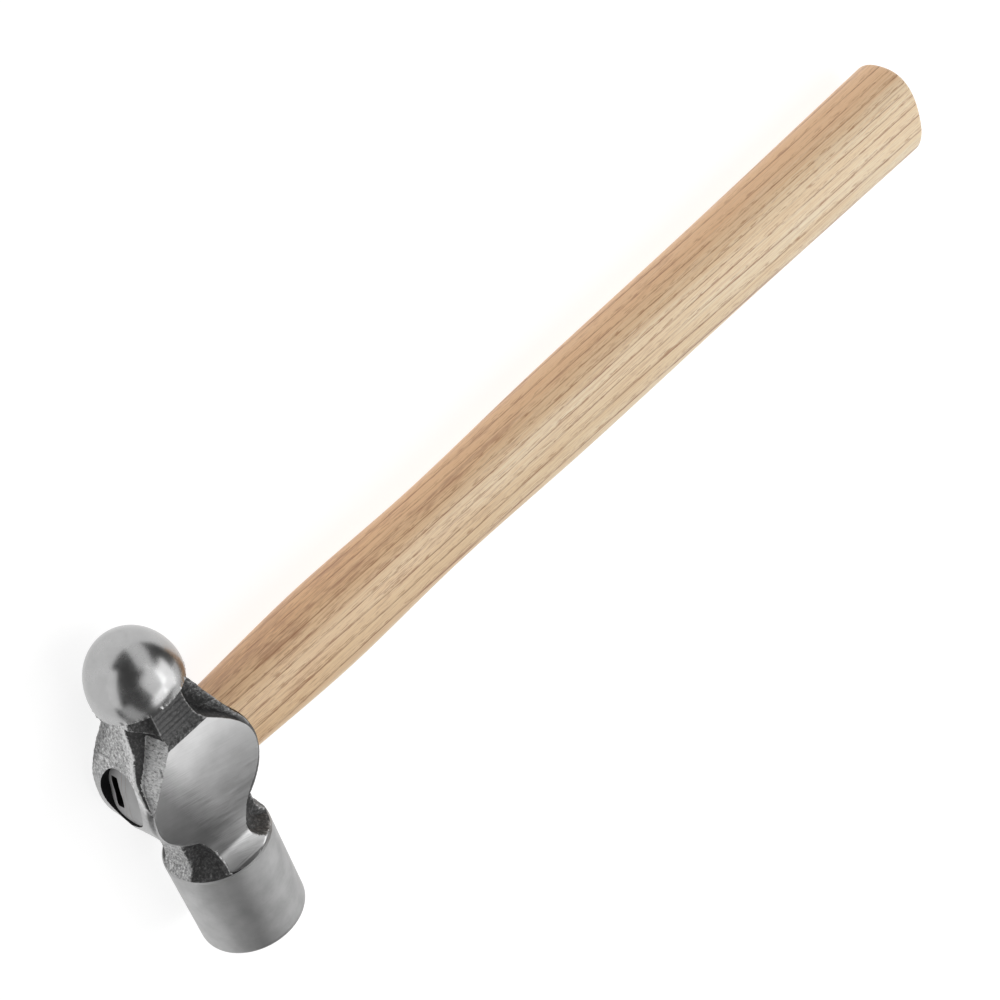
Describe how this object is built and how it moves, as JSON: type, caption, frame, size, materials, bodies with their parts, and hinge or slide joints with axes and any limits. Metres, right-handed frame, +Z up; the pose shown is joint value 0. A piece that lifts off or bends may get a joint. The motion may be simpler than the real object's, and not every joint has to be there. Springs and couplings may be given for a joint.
{
  "type": "ball peen hammer",
  "caption": "Ball peen hammer with a forged steel head, round striking face and domed pein on a wedged oval wooden handle, used for striking, riveting and shaping metal.",
  "frame": {"origin": "under the middle of the hammer's box, on the surface it lies on", "axes": "+X along the handle from the head to the butt, +Y along the head from the striking face to the ball, +Z up through a cheek"},
  "size_m": [0.4138, 0.1396, 0.04],
  "materials": {
    "head_steel": "satin ground faces, dark forged neck and waist",
    "handle_ash": "pale ash, thin clear coat",
    "wedge_wood": "bare end grain",
    "wedge_steel": "dark, as forged"
  },
  "bodies": {
    "root": {"head": "head_steel", "handle": "handle_ash", "wood_wedge": "wedge_wood", "steel_wedge": "wedge_steel"}
  },
  "joints": []
}
